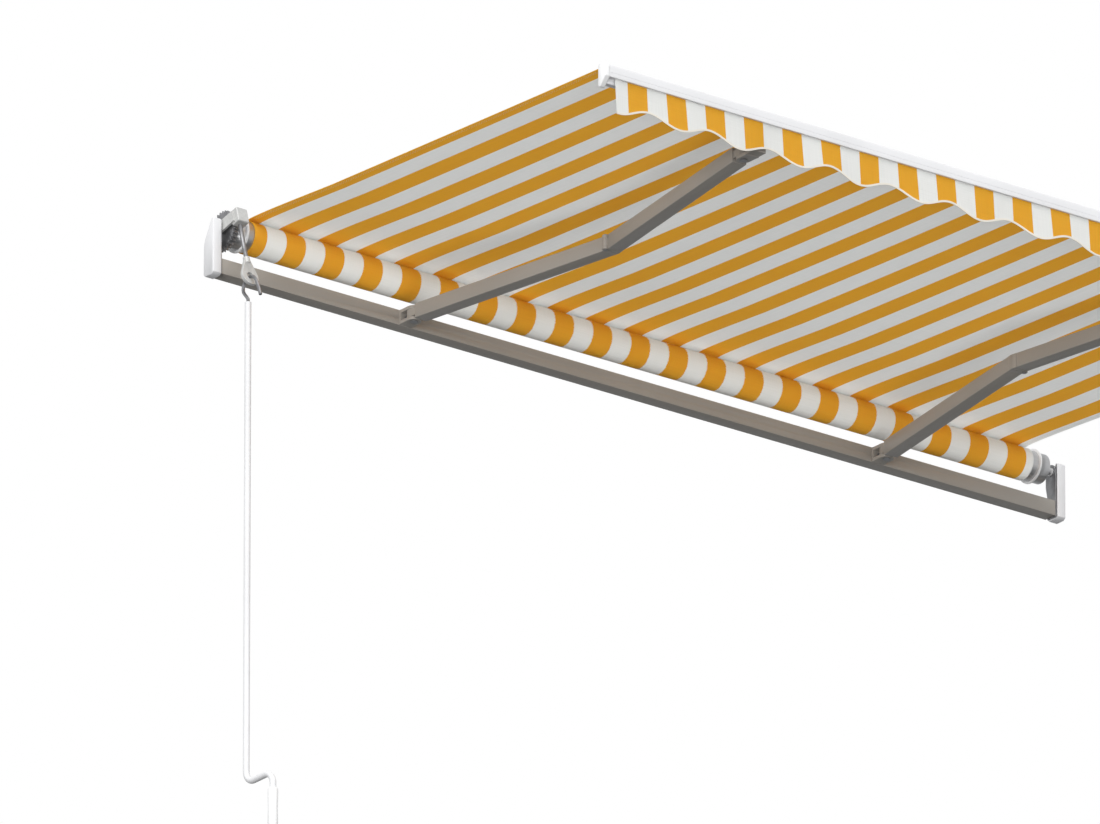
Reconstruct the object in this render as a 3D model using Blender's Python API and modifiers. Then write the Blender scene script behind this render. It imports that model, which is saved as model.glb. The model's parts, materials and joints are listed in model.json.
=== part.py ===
"""A retractable folding-arm awning with a hand crank, drawn out: its frame, cloth, gear and arms.

Metres, +Z up. X runs along the wall, -Y points away from it, and the origin is the centre of the
middle wall bracket's back face, where it meets the wall. Most places are given with at(x, reach,
height): reach is the distance out from the torsion bar's front face, height is above its top.
"""

import math

import bmesh
import bpy
from mathutils import Matrix, Vector

# The torsion bar, which carries everything, and its stand-off from the wall.
BAR_SIZE = 0.044
BAR_WALL = 0.0025
BAR_HALF = 1.4555
WALL_GAP = 0.085
ORIGIN_HEIGHT = 0.009
GAP = 0.0003

# Wall brackets: a back plate with two bolt slots, and a block that the bar is bolted to.
BRACKET_X = {"left": -1.06, "centre": 0.0, "right": 1.06}
PLATE_HALF_WIDTH = 0.050
PLATE_HEIGHTS = (-0.022, 0.040)
PLATE_THICK = 0.006
SLOT_X = 0.034
SLOT_HALF = 0.0045
SLOT_TRAVEL = 0.010
BLOCK_HALF_WIDTH = 0.022
BLOCK_HEIGHTS = (-0.022, -0.001)
BOLT_HEIGHT = -0.012
BOLT_R = 0.004
BOLT_HOLE_R = 0.0044
BOLT_HEAD_R = 0.0065
BOLT_HEAD_LENGTH = 0.005
COUNTERBORE_R = 0.0085
COUNTERBORE_DEPTH = 0.012

# The roller, its cloth and the plates that hold its ends.
ROLLER_REACH = -0.022
ROLLER_HEIGHT = 0.0924
ROLLER_R = 0.0435
ROLLER_WALL = 0.002
ROLLER_HALF = 1.3825
CLOTH_R = 0.0464
CLOTH_HALF = 1.360
AXLE_R = 0.008
HUB_R = 0.0432
HUB_END = 1.4215
FLANGE_R = 0.0500
FLANGE_THICK = 0.0045
PLUG_DEPTH = 0.045
SIDE_PLATE_X = (1.4560, 1.4600)
BUSH_R = 0.0120
COVER_X = (1.4603, 1.488)
COVER_WALL = 0.0025

# The worm gear at the left end. Its shaft leans out from the wall as it goes down.
GEAR_X = -1.431
GEAR_WIDTH = 0.016
GEAR_TEETH = 30
GEAR_PITCH_R = 0.0545
GEAR_ROOT_R = 0.0505
GEAR_TIP_R = 0.058
GEAR_THROAT_R = 0.0565
WORM_LEAN = math.radians(15)
CENTRE_DISTANCE = 0.0676
WORM_ROOT_R = 0.0099
WORM_TIP_R = 0.0157
WORM_HALF = 0.0115
TOOTH_SHARE = 0.43
PRESSURE = math.radians(20)
SHAFT_R = 0.006
SHAFT_TOP = -0.0265
SHAFT_END = 0.1430
EYE_DROP = 0.1945
EYE_R = 0.0275
EYE_HOLE_R = 0.0115
EYE_THICK = 0.010
EYE_NECK = 0.056
EYE_NECK_HALF = 0.0085

# The crank hangs from the eye by its hook.
HOOK_WIRE_R = 0.0048
HOOK_PIVOT_DROP = 0.0195
CRANK_REACH = 0.087
CRANK_TOP = -0.152
CRANK_R = 0.0090
CRANK_BEND = -1.560
CRANK_OFFSET = 0.120
HANDLE_LENGTH = 0.190
BEND_R = 0.035
GRIP_R = 0.0145
GRIP_LENGTH = 0.125

# Folding arms. Both halves are equal, so they fold flat along the bar.
SHOULDER_X = 0.825
SHOULDER_REACH = 0.040
FRONT_PIVOT_REACH = 1.505
ARM_SPLAY = math.radians(7.45)
ARM_WIDTH = 0.044
ARM_HEIGHTS = (-0.043, -0.001)
ARM_WALL = 0.0025
ELBOW_OFFSET = 0.0235
TUBE_START = 0.0235
TUBE_SHORT_OF_ELBOW = 0.012
PLUG_IN_TUBE = 0.048
MIDDLE = (-0.0328, -0.0112)
LOW_LUG = (-0.0426, -0.0333)
TOP_LUG = (-0.0107, -0.0014)
LUG_R = 0.021
ELBOW_LUG_R = 0.0095
ELBOW_NOTCH_R = 0.0105
PIN_R = 0.008
ELBOW_PIN_R = 0.004
PIN_CLEARANCE = 0.0003
BASE_THICK = 0.006
PIN_HEAD = 0.0015
SPRING_COIL_R = 0.011
SPRING_WIRE_R = 0.002
SPRING_TURNS = 10
SPRING_LENGTH = 0.36
CABLE_R = 0.0022

# The front bar, which the cloth and the valance are fixed to.
FRONT_REACH = (1.560, 1.592)
FRONT_HALF = 1.350
FRONT_WALL = 0.0022
CAP_THICK = 0.016
CANOPY_THICK = 0.0015
CANOPY_FRONT_HEIGHT = 0.0716
VALANCE_HALF = 1.328
VALANCE_TOP = 0.0405
VALANCE_REACH = 1.586
VALANCE_DROP = 0.088
WAVE_DEPTH = 0.014
WAVE_LENGTH = 0.207
WAVE_LOW_X = -0.907
VALANCE_THICK = 0.0015
VALANCE_LEAN = math.radians(5.4)
POINTS_A_WAVE = 12

# Object axes as columns: a side outline is (reach, height), a plan outline (x, reach).
SIDE = Matrix(((0, 0, -1), (-1, 0, 0), (0, 1, 0)))
PLAN = Matrix(((1, 0, 0), (0, -1, 0), (0, 0, -1)))
FRONT = Matrix(((1, 0, 0), (0, 0, -1), (0, 1, 0)))


# Scene and materials

for old in list(bpy.data.objects):
    bpy.data.objects.remove(old, do_unlink=True)

parts = bpy.data.collections.new("awning")
cutters = bpy.data.collections.new("cutters")
bpy.context.scene.collection.children.link(parts)
bpy.context.scene.collection.children.link(cutters)


def material(name, colour, roughness, metallic=0.0):
    made = bpy.data.materials.new(name)
    made.use_nodes = True
    shader = made.node_tree.nodes["Principled BSDF"]
    shader.inputs["Base Color"].default_value = (*colour, 1.0)
    shader.inputs["Roughness"].default_value = roughness
    shader.inputs["Metallic"].default_value = metallic
    made.diffuse_color = (*colour, 1.0)
    return made


TAUPE = material("taupe_powder_coat", (0.30, 0.26, 0.22), 0.5)
WHITE = material("white_powder_coat", (0.80, 0.79, 0.80), 0.4)
PLASTIC = material("white_plastic", (0.78, 0.78, 0.79), 0.45)
ZINC = material("zinc_plated_steel", (0.42, 0.42, 0.43), 0.4, 0.9)
ALUMINIUM = material("mill_aluminium", (0.60, 0.60, 0.60), 0.35, 0.9)
CASTING = material("grey_casting", (0.52, 0.52, 0.51), 0.5, 0.6)
CANVAS = material("striped_canvas", (0.75, 0.42, 0.09), 0.85)


# Helpers that make one object each


def at(x, reach, height):
    return Vector((x, -(reach + WALL_GAP), height - ORIGIN_HEIGHT))


def place(thing, location, axes=None, group=parts):
    matrix = (axes or Matrix.Identity(3)).to_4x4()
    matrix.translation = location
    thing.matrix_world = matrix
    group.objects.link(thing)
    return thing


def mesh_object(name, bm, look, location, axes=None):
    bmesh.ops.recalc_face_normals(bm, faces=bm.faces[:])
    mesh = bpy.data.meshes.new(name)
    bm.to_mesh(mesh)
    bm.free()
    mesh.materials.append(look)
    return place(bpy.data.objects.new(name, mesh), location, axes)


def smooth(thing, degrees=35):
    thing.data.shade_smooth()
    thing.data.set_sharp_from_angle(angle=math.radians(degrees))
    return thing


def box(name, low, high, look):
    """A box between two corners."""
    low, high = Vector(low), Vector(high)
    size = [abs(a - b) for a, b in zip(low, high)]
    bm = bmesh.new()
    bmesh.ops.create_cube(bm, size=1.0)
    bmesh.ops.scale(bm, vec=size, verts=bm.verts[:])
    return mesh_object(name, bm, look, (low + high) / 2)


def axes_along(direction):
    return Vector(direction).normalized().to_track_quat("Z", "Y").to_matrix()


def cylinder(name, radius, start, end, look, segments=20):
    """A round bar between two points."""
    start, end = Vector(start), Vector(end)
    bm = bmesh.new()
    bmesh.ops.create_cone(
        bm,
        cap_ends=True,
        segments=segments,
        radius1=radius,
        radius2=radius,
        depth=(end - start).length,
    )
    made = mesh_object(name, bm, look, (start + end) / 2, axes_along(end - start))
    return smooth(made)


def turned(name, profile, start, direction, look, segments=32):
    """A turned piece: profile is (radius, distance along the axis), down its outer side."""
    mesh = bpy.data.meshes.new(name)
    closed = profile[0][0] > 0
    count = len(profile)
    edges = [(i, i + 1) for i in range(count - 1)]
    if closed:
        edges.append((count - 1, 0))
    mesh.from_pydata([(r, 0, -z) for r, z in profile], edges, [])
    mesh.materials.append(look)
    down = Vector(direction).normalized()
    made = place(bpy.data.objects.new(name, mesh), Vector(start), axes_along(-down))
    screw = made.modifiers.new("Turn", "SCREW")
    screw.axis = "Z"
    screw.steps = screw.render_steps = segments
    screw.use_merge_vertices = True
    screw.merge_threshold = 0.00001
    screw.use_smooth_shade = False
    return made


def prism(name, outline, thickness, look, location, axes, holes=()):
    """A flat outline, extruded by half its thickness to each side."""
    curve = bpy.data.curves.new(name, "CURVE")
    curve.dimensions = "2D"
    curve.fill_mode = "BOTH"
    curve.extrude = thickness / 2
    for loop in (outline, *holes):
        spline = curve.splines.new("POLY")
        spline.points.add(len(loop) - 1)
        spline.use_cyclic_u = True
        for point, (u, v) in zip(spline.points, loop):
            point.co = (u, v, 0, 1)
    return curve_to_mesh(name, curve, look, location, axes)


def curve_to_mesh(name, curve, look, location, axes=None):
    drawn = bpy.data.objects.new(name + "_curve", curve)
    place(drawn, Vector((0, 0, 0)))
    bpy.context.view_layer.update()
    graph = bpy.context.evaluated_depsgraph_get()
    mesh = bpy.data.meshes.new_from_object(drawn.evaluated_get(graph))
    bpy.data.objects.remove(drawn, do_unlink=True)
    bm = bmesh.new()
    bm.from_mesh(mesh)
    bpy.data.meshes.remove(mesh)
    bmesh.ops.remove_doubles(bm, verts=bm.verts[:], dist=1e-6)
    return smooth(mesh_object(name, bm, look, location, axes))


def arc(centre, radius, first, last, steps):
    """Points along an arc of a flat outline, with angles in degrees."""
    turns = [math.radians(first + (last - first) * i / steps) for i in range(steps + 1)]
    return [(centre[0] + radius * math.cos(t), centre[1] + radius * math.sin(t)) for t in turns]


def circle(centre, radius, steps=20):
    return arc(centre, radius, 0, 360 - 360 / steps, steps - 1)


def wire(name, points, radius, look, sides=2):
    """A round bar bent along points, which are world places."""
    curve = bpy.data.curves.new(name, "CURVE")
    curve.dimensions = "3D"
    curve.bevel_depth = radius
    curve.bevel_resolution = sides
    curve.use_fill_caps = True
    spline = curve.splines.new("POLY")
    spline.points.add(len(points) - 1)
    start = Vector(points[0])
    for point, where in zip(spline.points, points):
        point.co = (*(Vector(where) - start), 1)
    return curve_to_mesh(name, curve, look, start)


def sleeve(name, size, length, wall, look, location, axes):
    """A rectangular tube, size (across, high), along its own Y."""
    bm = bmesh.new()
    bmesh.ops.create_cube(bm, size=1.0)
    bmesh.ops.scale(bm, vec=(size[0], length, size[1]), verts=bm.verts[:])
    ends = [face for face in bm.faces if abs(face.normal.y) > 0.5]
    bmesh.ops.delete(bm, geom=ends, context="FACES_ONLY")
    mesh = bpy.data.meshes.new(name)
    bm.to_mesh(mesh)
    bm.free()
    mesh.materials.append(look)
    made = place(bpy.data.objects.new(name, mesh), location, axes)
    shell = made.modifiers.new("Wall", "SOLIDIFY")
    shell.thickness = wall
    shell.offset = -1
    shell.use_even_offset = True
    return made


def combine(thing, other, operation):
    """Joins other to thing, or cuts it away, and puts other with the cutters."""
    parts.objects.unlink(other)
    cutters.objects.link(other)
    other.hide_render = True
    other.display_type = "WIRE"
    boolean = thing.modifiers.new(other.name, "BOOLEAN")
    boolean.operation = operation
    boolean.solver = "EXACT"
    boolean.object = other
    return thing


def cut(thing, other):
    return combine(thing, other, "DIFFERENCE")


def join(thing, other):
    return combine(thing, other, "UNION")


def softened(thing, width, segments=1):
    bevel = thing.modifiers.new("Edge", "BEVEL")
    bevel.width = width
    bevel.segments = segments
    bevel.limit_method = "ANGLE"
    bevel.angle_limit = math.radians(40)
    return thing


def hang_on(joint_name, location, pieces):
    """Parents pieces to an empty on a joint's axis, and leaves them where they are."""
    empty = bpy.data.objects.new(joint_name, None)
    empty.empty_display_size = 0.05
    place(empty, location)
    bpy.context.view_layer.update()
    for piece in pieces:
        world = piece.matrix_world.copy()
        piece.parent = empty
        piece.matrix_parent_inverse = Matrix.Translation(-Vector(location))
        piece.matrix_world = world
    return empty


# The torsion bar and the wall brackets


def torsion_bar():
    across = Matrix(((0, 1, 0), (1, 0, 0), (0, 0, 1)))
    middle = at(0, -BAR_SIZE / 2, -BAR_SIZE / 2)
    bar = sleeve(
        "torsion_bar", (BAR_SIZE, BAR_SIZE), 2 * BAR_HALF, BAR_WALL, TAUPE, middle, across
    )
    for name, x in BRACKET_X.items():
        start = at(x, -BAR_SIZE - 0.01, BOLT_HEIGHT)
        end = at(x, -BAR_SIZE + 0.01, BOLT_HEIGHT)
        cut(bar, cylinder(f"bar_rear_hole_{name}", BOLT_HOLE_R, start, end, TAUPE, 16))
    for side in (-1, 1):
        start = at(side * SHOULDER_X, -0.01, -BAR_SIZE / 2)
        end = at(side * SHOULDER_X, 0.01, -BAR_SIZE / 2)
        cut(bar, cylinder(f"bar_front_hole_{side}", BOLT_HOLE_R, start, end, TAUPE, 16))
    return bar


def bolt(name, head, direction, length):
    """A cap-head bolt: head is the centre of the head's outer face."""
    profile = [
        (0, 0),
        (BOLT_HEAD_R, 0),
        (BOLT_HEAD_R, BOLT_HEAD_LENGTH),
        (BOLT_R, BOLT_HEAD_LENGTH),
        (BOLT_R, length),
        (0, length),
    ]
    return turned(name, profile, head, direction, ZINC, 16)


def wall_bracket(name, x):
    plate = box(
        f"wall_bracket_{name}",
        at(x - PLATE_HALF_WIDTH, -WALL_GAP, PLATE_HEIGHTS[0]),
        at(x + PLATE_HALF_WIDTH, -WALL_GAP + PLATE_THICK, PLATE_HEIGHTS[1]),
        TAUPE,
    )
    block = box(
        f"bracket_block_{name}",
        at(x - BLOCK_HALF_WIDTH, -WALL_GAP + PLATE_THICK / 2, BLOCK_HEIGHTS[0] + 0.001),
        at(x + BLOCK_HALF_WIDTH, -BAR_SIZE - GAP, BLOCK_HEIGHTS[1]),
        TAUPE,
    )
    join(plate, block)
    middle_height = sum(PLATE_HEIGHTS) / 2
    for side in (-1, 1):
        outline = arc((0, SLOT_TRAVEL / 2), SLOT_HALF, 0, 180, 8)
        outline += arc((0, -SLOT_TRAVEL / 2), SLOT_HALF, 180, 360, 8)
        slot_place = at(x + side * SLOT_X, -WALL_GAP + PLATE_THICK / 2, middle_height)
        slot_name = f"wall_slot_{name}_{side}"
        cut(plate, prism(slot_name, outline, 0.02, TAUPE, slot_place, FRONT))
    back = -WALL_GAP - 0.002
    cut(
        plate,
        cylinder(
            f"bolt_way_{name}",
            BOLT_HOLE_R,
            at(x, back, BOLT_HEIGHT),
            at(x, -BAR_SIZE + 0.002, BOLT_HEIGHT),
            TAUPE,
            16,
        ),
    )
    cut(
        plate,
        cylinder(
            f"counterbore_{name}",
            COUNTERBORE_R,
            at(x, back, BOLT_HEIGHT),
            at(x, -WALL_GAP + COUNTERBORE_DEPTH, BOLT_HEIGHT),
            TAUPE,
            20,
        ),
    )
    head = at(x, -WALL_GAP + COUNTERBORE_DEPTH - BOLT_HEAD_LENGTH - GAP, BOLT_HEIGHT)
    bolt(f"bracket_bolt_{name}", head, (0, -1, 0), 0.044)


# The side plates and covers, and the roller between them


def side_plate(name, side):
    axle = (ROLLER_REACH, ROLLER_HEIGHT)
    outline = [(-0.037, -0.047), (0.001, -0.047), (0.001, 0.0924)]
    outline += arc(axle, 0.021, 30, 180, 10)
    outline += [(-0.043, 0.050), (-0.037, 0.020)]
    inner, outer = SIDE_PLATE_X
    middle = at(side * (inner + outer) / 2, 0, 0)
    plate = prism(f"side_plate_{name}", outline, outer - inner, ZINC, middle, SIDE)
    hole = cylinder(
        f"axle_hole_{name}",
        BUSH_R + GAP,
        at(side * (inner - 0.01), *axle),
        at(side * (outer + 0.01), *axle),
        ZINC,
        24,
    )
    cut(plate, hole)
    profile = [
        (BUSH_R, 0),
        (BUSH_R, outer - inner + 0.002),
        (AXLE_R + PIN_CLEARANCE, outer - inner + 0.002),
        (AXLE_R + PIN_CLEARANCE, 0),
    ]
    start = at(side * (inner - 0.002), *axle)
    turned(f"roller_bush_{name}", profile, start, (side, 0, 0), PLASTIC, 24)


def side_cover(name, side):
    """A cover that is open on its inner side, where the side plate closes it."""
    outline = [(-0.034, -0.052), (-0.003, -0.052), (0.005, -0.046), (0.005, 0.111)]
    outline += [(0.001, 0.115), (-0.005, 0.112), (-0.034, 0.058), (-0.039, 0.044)]
    outline += [(-0.040, -0.046)]
    inner, outer = COVER_X
    middle = at(side * (inner + outer) / 2, 0, 0)
    cover = prism(f"side_cover_{name}", outline, outer - inner, WHITE, middle, SIDE)
    softened(cover, 0.0015, 2)
    hollow = [(-0.0365, -0.046), (0.0015, -0.046), (0.0015, 0.110)]
    hollow += [(-0.0030, 0.1095), (-0.0315, 0.0570), (-0.0365, 0.0435)]
    shift = side * COVER_WALL
    room = prism(
        f"cover_room_{name}",
        hollow,
        outer - inner,
        WHITE,
        middle - Vector((shift, 0, 0)),
        SIDE,
    )
    cut(cover, room)


def roller_plug(name, side):
    """An end plug: it sits in the tube, has a flange, and ends in the axle."""
    inner = ROLLER_HALF - PLUG_DEPTH
    inside = ROLLER_R - ROLLER_WALL - GAP
    flange = ROLLER_HALF + GAP
    profile = [
        (0, 0),
        (inside, 0),
        (inside, flange - inner),
        (FLANGE_R, flange - inner),
        (FLANGE_R, flange + FLANGE_THICK - inner),
        (HUB_R, flange + FLANGE_THICK - inner),
        (HUB_R, HUB_END - inner),
        (AXLE_R, HUB_END - inner),
        (AXLE_R, SIDE_PLATE_X[1] - inner),
        (0, SIDE_PLATE_X[1] - inner),
    ]
    start = at(side * inner, ROLLER_REACH, ROLLER_HEIGHT)
    return turned(f"roller_plug_{name}", profile, start, (side, 0, 0), PLASTIC, 32)


def ring(name, outer, inner, half_length, look, segments):
    profile = [(outer, 0), (outer, 2 * half_length), (inner, 2 * half_length), (inner, 0)]
    start = at(-half_length, ROLLER_REACH, ROLLER_HEIGHT)
    return turned(name, profile, start, (1, 0, 0), look, segments)


# The worm gear


def gear_frame():
    """Axes with Z down the worm's shaft, X along the wall, and the place where it meets the wheel."""
    down = Vector((0, -math.sin(WORM_LEAN), -math.cos(WORM_LEAN)))
    out = Vector((0, -math.cos(WORM_LEAN), math.sin(WORM_LEAN)))
    meeting = at(GEAR_X, ROLLER_REACH, ROLLER_HEIGHT) + CENTRE_DISTANCE * out
    axes = Matrix((Vector((1, 0, 0)), down.cross(Vector((1, 0, 0))), down)).transposed()
    return meeting, axes


GEAR_PITCH = 2 * math.pi * GEAR_PITCH_R / GEAR_TEETH
WORM_PITCH_R = CENTRE_DISTANCE - GEAR_PITCH_R


def tooth_height(phase, low, pitch, high):
    """Radius of a worm's thread at a phase of 0 to 1 across one tooth, 0 being its middle."""
    away = min(phase % 1.0, 1 - phase % 1.0) * GEAR_PITCH
    rise = (TOOTH_SHARE * GEAR_PITCH / 2 - away) / math.tan(PRESSURE)
    return min(max(pitch + rise, low), high)


def worm_shaft():
    """The shaft and its thread in one surface: a radius for each height and turn."""
    around = 20
    step = GEAR_PITCH / 11
    rows = int(2 * WORM_HALF / step)
    heights = [SHAFT_TOP, -WORM_HALF - 0.0012]
    heights += [-WORM_HALF + i * 2 * WORM_HALF / rows for i in range(rows + 1)]
    heights += [WORM_HALF + 0.0012, SHAFT_END]
    bm = bmesh.new()
    rings = []
    for height in heights:
        threaded = abs(height) <= WORM_HALF + 1e-6
        loop = []
        for i in range(around):
            phase = height / GEAR_PITCH + 0.25 - i / around
            radius = SHAFT_R
            if threaded:
                radius = tooth_height(phase, WORM_ROOT_R, WORM_PITCH_R, WORM_TIP_R)
            turn = 2 * math.pi * i / around
            loop.append(bm.verts.new((radius * math.cos(turn), radius * math.sin(turn), height)))
        rings.append(loop)
    for upper, lower in zip(rings, rings[1:]):
        for i in range(around):
            j = (i + 1) % around
            bm.faces.new((upper[i], upper[j], lower[j], lower[i]))
    bm.faces.new(rings[0])
    bm.faces.new(rings[-1])
    meeting, axes = gear_frame()
    return smooth(mesh_object("worm_shaft", bm, ZINC, meeting, axes))


def worm_wheel():
    """A wheel whose teeth follow the worm's thread, and whose tips are hollowed to clear it."""
    lead = math.atan(GEAR_PITCH / (2 * math.pi * WORM_PITCH_R))
    bm = bmesh.new()
    layers = []
    for share in (-0.5, 0.0, 0.5):
        across = share * GEAR_WIDTH
        tip = GEAR_THROAT_R + (GEAR_TIP_R - GEAR_THROAT_R) * (2 * share) ** 2
        twist = across * math.tan(lead) / GEAR_PITCH_R
        loop = []
        for tooth in range(GEAR_TEETH):
            middle = 2 * math.pi * tooth / GEAR_TEETH + twist
            for radius, sign in ((GEAR_ROOT_R, -1), (tip, -1), (tip, 1), (GEAR_ROOT_R, 1)):
                half = TOOTH_SHARE * GEAR_PITCH / 2
                half -= (radius - GEAR_PITCH_R) * math.tan(PRESSURE)
                turn = middle + sign * half / GEAR_PITCH_R
                place_on = (radius * math.cos(turn), radius * math.sin(turn), across)
                loop.append(bm.verts.new(place_on))
        layers.append(loop)
    count = len(layers[0])
    for first, second in zip(layers, layers[1:]):
        for i in range(count):
            j = (i + 1) % count
            bm.faces.new((first[i], first[j], second[j], second[i]))
    bm.faces.new(layers[0])
    bm.faces.new(layers[-1])
    out = Vector((0, -math.cos(WORM_LEAN), math.sin(WORM_LEAN)))
    down = Vector((0, -math.sin(WORM_LEAN), -math.cos(WORM_LEAN)))
    axes = Matrix((out, down, out.cross(down))).transposed()
    centre = at(GEAR_X, ROLLER_REACH, ROLLER_HEIGHT)
    wheel = mesh_object("worm_wheel", bm, ZINC, centre, axes)
    bore = cylinder(
        "wheel_bore",
        AXLE_R + GAP,
        centre - Vector((0.02, 0, 0)),
        centre + Vector((0.02, 0, 0)),
        ZINC,
        24,
    )
    return cut(wheel, bore)


def worm_housing():
    """A block that carries the worm in two bearings, on an arm that is fixed to the side plate."""
    meeting, axes = gear_frame()
    out = Vector((0, -math.cos(WORM_LEAN), math.sin(WORM_LEAN)))
    down = Vector((0, -math.sin(WORM_LEAN), -math.cos(WORM_LEAN)))

    def block(name, x, along, outward):
        bm = bmesh.new()
        bmesh.ops.create_cube(bm, size=1.0)
        size = (x[1] - x[0], outward[1] - outward[0], along[1] - along[0])
        bmesh.ops.scale(bm, vec=size, verts=bm.verts[:])
        centre = meeting + out * sum(outward) / 2 + down * sum(along) / 2
        centre.x = GEAR_X + sum(x) / 2
        return mesh_object(name, bm, CASTING, centre, axes)

    housing = block("worm_housing", (-0.0190, 0.0185), (-0.0225, 0.0225), (-0.0105, 0.0200))
    softened(housing, 0.0020, 1)
    centre = at(GEAR_X, ROLLER_REACH, ROLLER_HEIGHT)
    arm = arc((0, 0), 0.0165, 90, 270, 10)
    arm += [(CENTRE_DISTANCE + 0.004, -0.016), (CENTRE_DISTANCE + 0.004, 0.016)]
    thick = 0.007
    side_axes = Matrix((out, down, out.cross(down))).transposed()
    centre.x = -(SIDE_PLATE_X[0] - GAP) + thick / 2
    join(housing, prism("housing_arm", arm, thick, CASTING, centre, side_axes))
    side = centre.copy()
    ends = (side - Vector((0.02, 0, 0)), side + Vector((0.008, 0, 0)))
    cut(housing, cylinder("housing_axle_way", 0.0125, *ends, CASTING, 24))
    slot = block("worm_slot", (-0.0166, 0.0166), (-0.0150, 0.0150), (-0.030, 0.0))
    cut(housing, slot)
    for name, radius, low, high in (
        ("worm_room", 0.0166, -0.0150, 0.0150),
        ("worm_bearings", SHAFT_R + PIN_CLEARANCE, -0.05, 0.05),
    ):
        way = cylinder(name, radius, meeting + down * low, meeting + down * high, CASTING, 24)
        cut(housing, way)
    return housing


def shaft_eye():
    """The eye that the crank hooks into: a drop-shaped plate with a socket for the shaft."""
    meeting, axes = gear_frame()
    down = axes.col[2]
    centre = meeting + down * EYE_DROP
    drop = arc((0, 0), EYE_R, 160, 380, 16)
    drop += [(EYE_NECK_HALF, EYE_NECK), (-EYE_NECK_HALF, EYE_NECK)]
    face = Matrix((Vector((1, 0, 0)), -down, Vector((1, 0, 0)).cross(-down))).transposed()
    hole = [circle((0, 0), EYE_HOLE_R, 20)]
    eye = prism("shaft_eye", drop, EYE_THICK, CASTING, centre, face, hole)
    softened(eye, 0.0012, 1)
    top = centre - down * (EYE_NECK + 0.006)
    socket = cylinder("eye_socket", 0.0095, top, centre - down * (EYE_NECK - 0.012), CASTING, 20)
    join(eye, socket)
    bore_end = meeting + down * (SHAFT_END + GAP * 2)
    bore = cylinder("eye_bore", SHAFT_R + GAP, top - down * 0.01, bore_end, CASTING, 24)
    return cut(eye, bore)


# The crank


def smooth_path(points, steps):
    """Points along a smooth curve through the given ones."""
    found = []
    ends = [points[0], *points, points[-1]]
    for a, b, c, d in zip(ends, ends[1:], ends[2:], ends[3:]):
        for i in range(steps):
            t = i / steps
            found.append(
                tuple(
                    0.5
                    * (
                        2 * q
                        + (r - p) * t
                        + (2 * p - 5 * q + 4 * r - s) * t * t
                        + (3 * q - p - 3 * r + s) * t**3
                    )
                    for p, q, r, s in zip(a, b, c, d)
                )
            )
    found.append(points[-1])
    return found


def hook_pivot():
    meeting, axes = gear_frame()
    return meeting + axes.col[2] * (EYE_DROP + HOOK_PIVOT_DROP)


def crank_hook():
    """A hook of round bar: angle in degrees from straight out, and distance from the pivot."""
    pivot = hook_pivot()
    bends = [(-48, 0.066), (-40, 0.050), (-24, 0.0335), (6, 0.0225), (48, 0.0182)]
    bends += [(90, 0.0172), (128, 0.0200), (160, 0.0270), (186, 0.0330), (212, 0.0375)]
    points = []
    for degrees, distance in bends:
        turn = math.radians(degrees)
        reach, rise = distance * math.cos(turn), distance * math.sin(turn)
        points.append((pivot.x, pivot.y - reach, pivot.z + rise))
    shank = at(pivot.x, CRANK_REACH, CRANK_TOP)
    points.append((pivot.x, shank.y + 0.0030, shank.z + 0.014))
    points.append((pivot.x, shank.y, shank.z + 0.006))
    path = smooth_path(points, 3) + [(pivot.x, shank.y, shank.z + GAP)]
    return wire("crank_hook", path, HOOK_WIRE_R, ZINC)


def crank_rod():
    """A straight tube with a bend out and a bend down, which the hand turns."""
    x = hook_pivot().x
    side = [(CRANK_REACH, CRANK_TOP), (CRANK_REACH, CRANK_BEND + BEND_R)]
    side += arc((CRANK_REACH + BEND_R, CRANK_BEND + BEND_R), BEND_R, 180, 270, 5)[1:]
    far = CRANK_REACH + CRANK_OFFSET
    side += arc((far - BEND_R, CRANK_BEND - BEND_R), BEND_R, 90, 0, 5)
    side.append((far, CRANK_BEND - HANDLE_LENGTH))
    return wire("crank_rod", [at(x, *point) for point in side], CRANK_R, WHITE, 2)


def crank_grip():
    top = CRANK_BEND - BEND_R - 0.015
    start = at(hook_pivot().x, CRANK_REACH + CRANK_OFFSET, top)
    inner = CRANK_R + GAP * 2
    profile = [
        (GRIP_R - 0.002, 0),
        (GRIP_R, 0.004),
        (GRIP_R - 0.0010, GRIP_LENGTH / 2),
        (GRIP_R, GRIP_LENGTH - 0.004),
        (GRIP_R - 0.002, GRIP_LENGTH),
        (inner, GRIP_LENGTH),
        (inner, 0),
    ]
    return turned("crank_grip", profile, start, (0, 0, -1), PLASTIC, 24)


# The folding arms

HALF_SPAN = (FRONT_PIVOT_REACH - SHOULDER_REACH) / 2
LINK = HALF_SPAN / math.cos(ARM_SPLAY)
TUBE_SPLAY = ARM_SPLAY + math.asin(ELBOW_OFFSET / LINK)
TUBE_REACH = math.sqrt(LINK**2 - ELBOW_OFFSET**2)


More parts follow.
